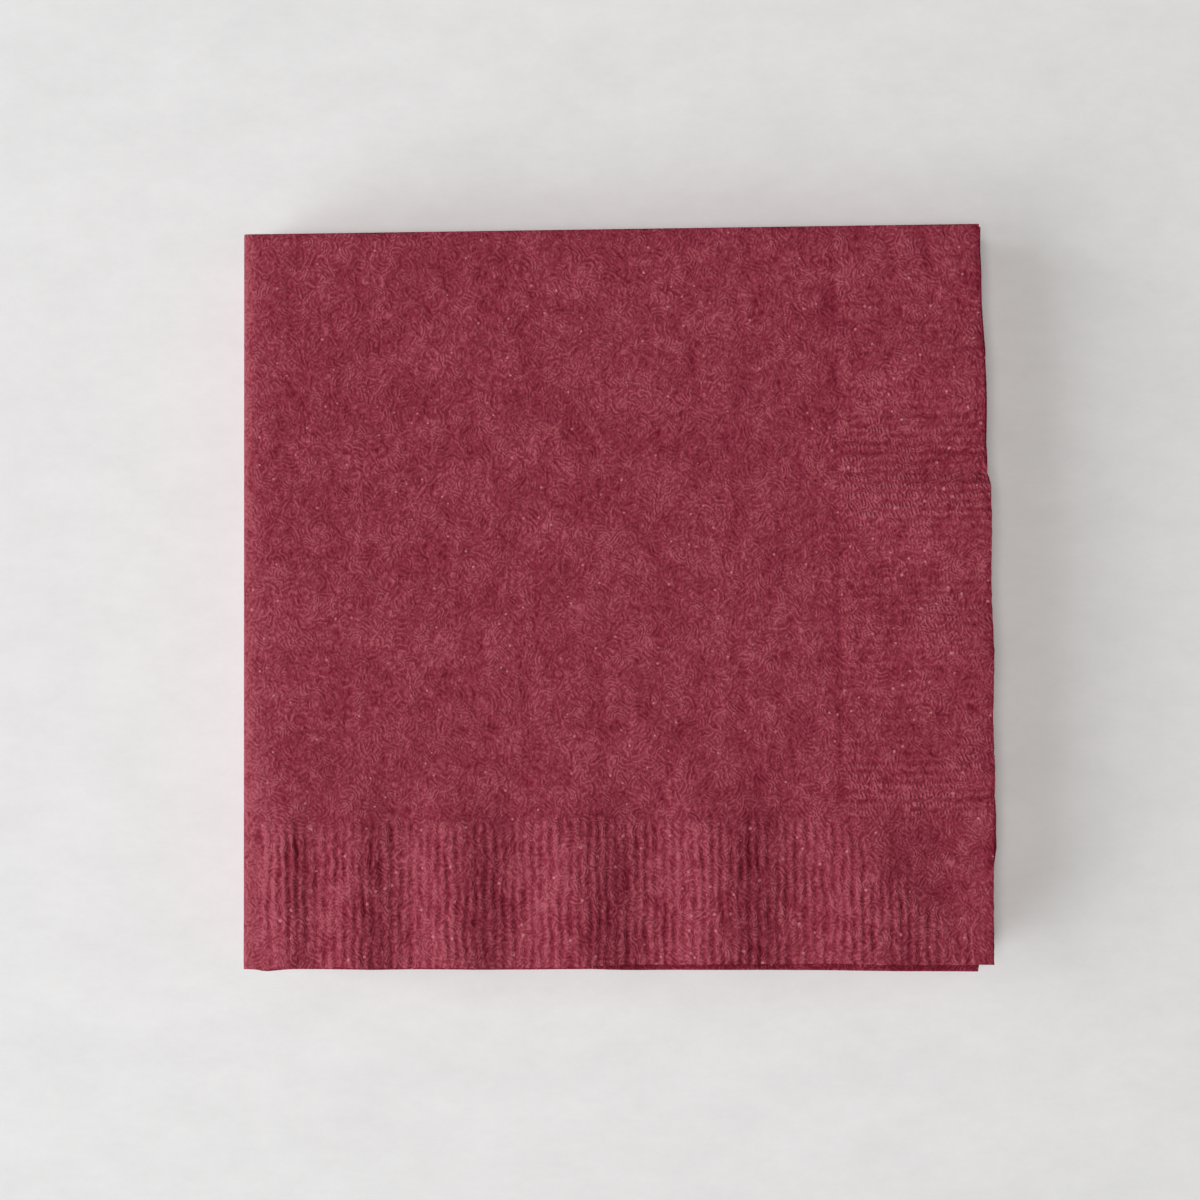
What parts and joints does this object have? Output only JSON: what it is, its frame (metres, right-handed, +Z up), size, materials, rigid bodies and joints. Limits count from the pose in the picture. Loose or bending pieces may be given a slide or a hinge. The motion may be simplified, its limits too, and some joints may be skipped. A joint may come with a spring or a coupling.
{
  "type": "paper napkin stack",
  "caption": "Stack of quarter-folded square paper napkins with folds at the back and left, cut edges at the front and right, and a ridged coin-edge border on the top one.",
  "frame": {"origin": "centre of the lowest napkin's footprint, on the table", "axes": "+Z up; +X towards the right-hand cut edges, away from the second fold; +Y towards the back, where the first fold is"},
  "size_m": [0.128, 0.1268, 0.0218],
  "materials": {
    "tissue": "matt, embossed"
  },
  "bodies": {
    "root": {"napkin_01": "tissue", "napkin_02": "tissue", "napkin_03": "tissue", "napkin_04": "tissue", "napkin_05": "tissue", "napkin_06": "tissue", "napkin_07": "tissue", "napkin_08": "tissue", "napkin_09": "tissue", "napkin_10": "tissue", "napkin_11": "tissue", "napkin_12": "tissue", "napkin_13": "tissue", "napkin_14": "tissue", "napkin_15": "tissue", "napkin_16": "tissue", "napkin_17": "tissue", "napkin_18": "tissue", "napkin_19": "tissue", "napkin_20": "tissue"}
  },
  "joints": []
}
